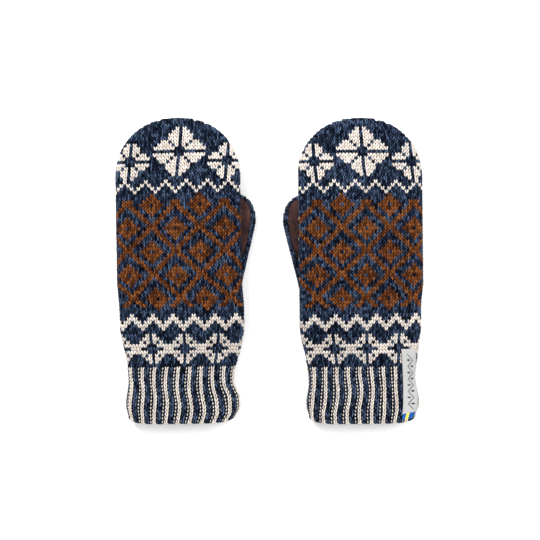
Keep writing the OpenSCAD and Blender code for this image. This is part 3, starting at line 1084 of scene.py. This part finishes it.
def patch(name, surface, side, back, mid, half):
    ob = flat_grid(name, PATCH_CELLS, 2)
    square = coords(ob)[:, :2]
    across = square[:, 0] * np.sqrt(1 - square[:, 1] ** 2 / 2)
    along = square[:, 1] * np.sqrt(1 - square[:, 0] ** 2 / 2)
    out = np.hypot(across, along)
    x, y = oval_point(np.arctan2(along, across), half)
    a, b = mid[0] + x * out, mid[1] + y * out
    p, n = frame_at(surface, a, b, np.full(a.shape, back))
    rim = ease(0.93, 1.0, out)
    wave = 0.10 * np.sin(a * 0.42 + b * 0.13) + 0.08 * np.sin(b * 0.31 - a * 0.2)
    high = 1.08 + wave * (1 - rim) - 0.30 * rim
    set_coords(ob, to_world(p + n * high[:, None], side))
    ob.data.uv_layers[0].name = "OFBake"
    if back * (1 if side == "left" else -1) < 0:
        edit(ob)
        bpy.ops.mesh.select_all(action="SELECT")
        bpy.ops.mesh.flip_normals()
        bpy.ops.object.mode_set(mode="OBJECT")
    give_wall(ob, 0.85)
    bpy.ops.object.shade_smooth()
    wear(ob, LEATHER_LOOK)
    print(name, "flat area mm2", round(oval_area(half)))
    return ob


# %% Thread
THREAD = yarn_material(
    "waxed thread", (0.008, 0.004, 0.003), (0.028, 0.014, 0.010), (0.07, 0.04, 0.03), 0.6, 0.5
)
THREAD_PITCH, THREAD_LONG, THREAD_WIDE = 3.1, 2.3, 0.62


def running_stitches(mid, half, back, high):
    """Stitches evenly spaced along an oval's edge."""
    x, y = oval_point(np.linspace(0, 2 * math.pi, 721), half, 0.35)
    walked = np.concatenate([[0], np.cumsum(np.hypot(np.diff(x), np.diff(y)))])
    count = int(walked[-1] / THREAD_PITCH)
    legs = []
    for k in range(count):
        s = walked[-1] * (k + 0.5) / count
        at = [float(np.interp(s, walked, v)) for v in (x, y)]
        reach = THREAD_LONG / 2
        ends = [
            float(np.interp(s + reach, walked, v) - np.interp(s - reach, walked, v)) for v in (x, y)
        ]
        if ends[1] < 0:
            ends = [-ends[0], -ends[1]]
        legs.append(
            (mid[0] + at[0], mid[1] + at[1], back, 1, ends[0], -ends[0] / 2, ends[1],
             THREAD_WIDE, high, 0.5 + rng.normal(0, 0.12))
        )
    return legs


for side in ("left", "right"):
    for part, surface, back, mid, half, under in (
        ("palm", hand_at, -1, PATCH_MID, PATCH_HALF, "hand"),
        ("thumb", thumb_at, 1, THUMB_PATCH_MID, THUMB_PATCH_HALF, "thumb"),
    ):
        hide = patch(f"{side}_{part}_leather", surface, side, back, mid, half)
        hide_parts(f"{side}_{part}_patch")
        oval_area(half) * MM**2
        seam = lay_yarn(
            f"{side}_{part}_thread", surface, side, running_stitches(mid, half, back, 0.45), THREAD
        )
        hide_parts(f"{side}_{part}_stitching")
        for ob in (hide, seam):
            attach(ob, f"{side}_{under}")

# %% [markdown]
# ## Woven label and ribbon
# The right mitten's cuff wears a pale woven label, sewn down over the ribs at its
# outer side, and a folded blue ribbon peeps out from under its lower end. A plain
# zigzag with small diamonds decorates the label. The label is a thin sheet that
# still shows the ribs under it as soft waves.

# %% Group: fine weave
def make_weave_group():
    g, inp, out = new_group("fine weave", ("Base",), {"Threads": 100}, ("Color", "Height"))
    flat = add_node(g, "UVMap", (-900, -200), uv_map="OFBake")
    height = None
    for k, way in enumerate(("X", "Y")):
        wave = add_node(g, "TexWave", (-600, -300 * k), {"Distortion": 0.4}, bands_direction=way)
        g.links.new(inp.outputs["Threads"], wave.inputs["Scale"])
        g.links.new(flat.outputs["UV"], wave.inputs["Vector"])
        height = wave.outputs["Fac"] if height is None else math_node(
            g, (-300, -200), "MULTIPLY", height, wave.outputs["Fac"])
    dust = add_node(g, "TexNoise", (-600, 300), {"Scale": 30})
    g.links.new(flat.outputs["UV"], dust.inputs["Vector"])
    # The threads' own height darkens the colour between them: painted shade; the dust noise adds a
    # random mottle
    soft = math_node(g, (-300, 100), "MULTIPLY", height, 0.35)
    shade = math_node(g, (-150, 150), "ADD", soft, dust.outputs["Fac"])
    spread = add_node(g, "MapRange", (0, 150), {"From Min": 0.25, "From Max": 1.0, "To Min": 0.78})
    g.links.new(shade, spread.inputs["Value"])
    colour = add_node(g, "Mix", (200, 100), data_type="RGBA", blend_type="MULTIPLY")
    colour.inputs["Factor"].default_value = 1
    g.links.new(inp.outputs["Base"], colour.inputs[COLOUR_A])
    g.links.new(spread.outputs[0], colour.inputs[COLOUR_B])
    g.links.new(colour.outputs[MIXED], out.inputs["Color"])
    g.links.new(height, out.inputs["Height"])
    return g


WEAVE = make_weave_group()


def woven_material(name, base, threads, stripe=None):
    look = {"Base": (*base, 1), "Threads": threads}
    surface = {"Roughness": 0.75, "Specular IOR Level": 0.2}
    mat, weave = group_material(name, WEAVE, look, surface, 0.3, 0.1)
    if stripe:
        tree = mat.node_tree
        mark = add_node(tree, "Attribute", (-900, 300), attribute_name="stripe")
        paint = add_node(tree, "Mix", (-700, 300), data_type="RGBA")
        tree.links.new(mark.outputs["Fac"], paint.inputs["Factor"])
        paint.inputs[COLOUR_A].default_value = (*base, 1)
        paint.inputs[COLOUR_B].default_value = (*stripe, 1)
        tree.links.new(paint.outputs[MIXED], weave.inputs["Base"])
    return mat


LABEL_LOOK = woven_material("label weave", (0.37, 0.37, 0.365), 14)
RIBBON_LOOK = woven_material("blue ribbon", (0.003, 0.075, 0.28), 10, stripe=(0.80, 0.58, 0.05))
print("weave ready")

# %% Label and ribbon as laid strips
LABEL_HIGH, LABEL_WALL = 1.3, 0.4
RIBBON_LONG, RIBBON_FOLD, RIBBON_WALL = 4.3, 0.42, 0.3


def laid_strip(name, cells, place, material, wall):
    """place(u, v) gives distance over the label's side, y and height, u and v 0 to 1."""
    ob = flat_grid(name, cells, 1)
    co = coords(ob)
    across, y, high = place(co[:, 0] + 0.5, co[:, 1] + 0.5)
    p, n = frame_at(hand_at, -(LABEL_X + across), y, np.ones(len(co)))
    set_coords(ob, to_world(p + n * high[:, None], "right"))
    ob.data.uv_layers[0].name = "OFBake"
    ob.data.materials.append(material)
    give_wall(ob, wall, offset=0)
    bpy.ops.object.shade_smooth()
    return ob


def label_place(u, v):
    across, y = u * LABEL_WIDE, mix(LABEL_Y[0], LABEL_Y[1], v)
    waves = 0.13 * np.sin(across * 2 * math.pi / 9 + 0.8) + 0.06 * np.sin(y * 0.5)
    edge = 0.25 * (ease(0.9, 1, np.abs(2 * u - 1)) + ease(0.96, 1, np.abs(2 * v - 1)))
    return across + 0.3 * np.sin(y * 0.11), y, LABEL_HIGH + waves - edge


def ribbon_place(u, v):
    """Down the front, round the fold and up again behind."""
    y_fold = LABEL_Y[0] - RIBBON_LONG
    fold = math.pi * RIBBON_FOLD
    reach = RIBBON_LONG + 1
    s = v * (2 * reach + fold)
    turn = np.clip((s - reach) / RIBBON_FOLD, 0, math.pi)
    y = np.where(s < reach, LABEL_Y[0] + 1 - s, y_fold - RIBBON_FOLD * np.sin(turn))
    y = np.where(s > reach + fold, y_fold + s - reach - fold, y)
    high = 0.55 + RIBBON_FOLD + RIBBON_FOLD * np.cos(turn)
    sway = 0.25 * np.sin(u * math.pi)
    return u * (LABEL_WIDE - 0.8) + 0.2, y - sway, high


label = laid_strip("care_label", (28, 90), label_place, LABEL_LOOK, LABEL_WALL)
ribbon = laid_strip("ribbon_loop", (56, 40), ribbon_place, RIBBON_LOOK, RIBBON_WALL)
ribbon_co = coords(ribbon)
mid_y = to_world(hand_at(np.array([-(LABEL_X + 4.4)]), np.array([LABEL_Y[0] - 2])), "right")[0]
slant = (ribbon_co[:, 0] - mid_y[0]) - 0.3 * (ribbon_co[:, 1] - mid_y[1])
stripe = ribbon.data.attributes.new("stripe", "FLOAT", "POINT")
stripe.data.foreach_set("value", (np.abs(slant) < 1.15 * MM).astype(np.float32))
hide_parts("woven_label")
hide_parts("ribbon_tab")

# %% The label's zigzag, diamonds and end stitches
INK = yarn_material(
    "dark label thread", (0.012, 0.012, 0.012), (0.04, 0.04, 0.04), (0.10, 0.10, 0.10), 0.4, 0.6
)
PALE = yarn_material(
    "pale label thread", (0.25, 0.25, 0.24), (0.5, 0.5, 0.48), (0.7, 0.7, 0.68), 0.4, 0.6
)
ZIGZAG_MID, ZIGZAG_REACH, ZIGZAGS = 6.2, 1.9, 9
ON_LABEL = LABEL_HIGH + LABEL_WALL / 2 - 0.15


def label_line(points, wide):
    """Thread through (across, y) points on the label."""
    legs = []
    for (x0, y0), (x1, y1) in zip(points, points[1:]):
        dx, dy = -(x1 - x0) * 1.15, (y1 - y0) * 1.15
        if dy < 0:
            dx, dy = -dx, -dy
        legs.append((-(LABEL_X + (x0 + x1) / 2), (y0 + y1) / 2, 1, 1, dx, -dx / 2, dy, wide, ON_LABEL,
                     0.5 + rng.normal(0, 0.15)))
    return legs


def label_diamond(x, y, size):
    """A filled diamond of short lengthwise threads."""
    legs = []
    for k in range(-2, 3):
        tall = size * (1 - abs(k) / 3)
        legs += label_line([(x + k * 0.5, y - tall), (x + k * 0.5, y + tall)], 0.55)
    return legs


ornament = []
low, high = LABEL_Y[0] + 4, LABEL_Y[1] - 4
tall = (high - low) / ZIGZAGS
for k in range(ZIGZAGS):
    way, y = 1 if k % 2 else -1, low + k * tall
    corners = [(ZIGZAG_MID - way * ZIGZAG_REACH, y), (ZIGZAG_MID + way * ZIGZAG_REACH, y + tall)]
    between = [tuple(mix(np.array(corners[0]), np.array(corners[1]), j / 4)) for j in range(5)]
    ornament += label_line(between, 0.55)
    if 0 < k:
        ornament += label_diamond(ZIGZAG_MID + way * 1.3, y, 1.0)
ink = lay_yarn("label_ornament", hand_at, "right", ornament, INK)
sewing = []
for end in LABEL_Y:
    inwards = 1.2 if end == LABEL_Y[0] else -1.2
    for k in range(6):
        x = (k + 0.8) * LABEL_WIDE / 6.6
        sewing += label_line([(x, end + inwards), (x + 1.2, end + inwards)], 0.4)
sewn = lay_yarn("label_end_stitches", hand_at, "right", sewing, PALE)
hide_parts("label_stitching")
for ob in (label, ribbon, ink, sewn):
    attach(ob, "right_hand")
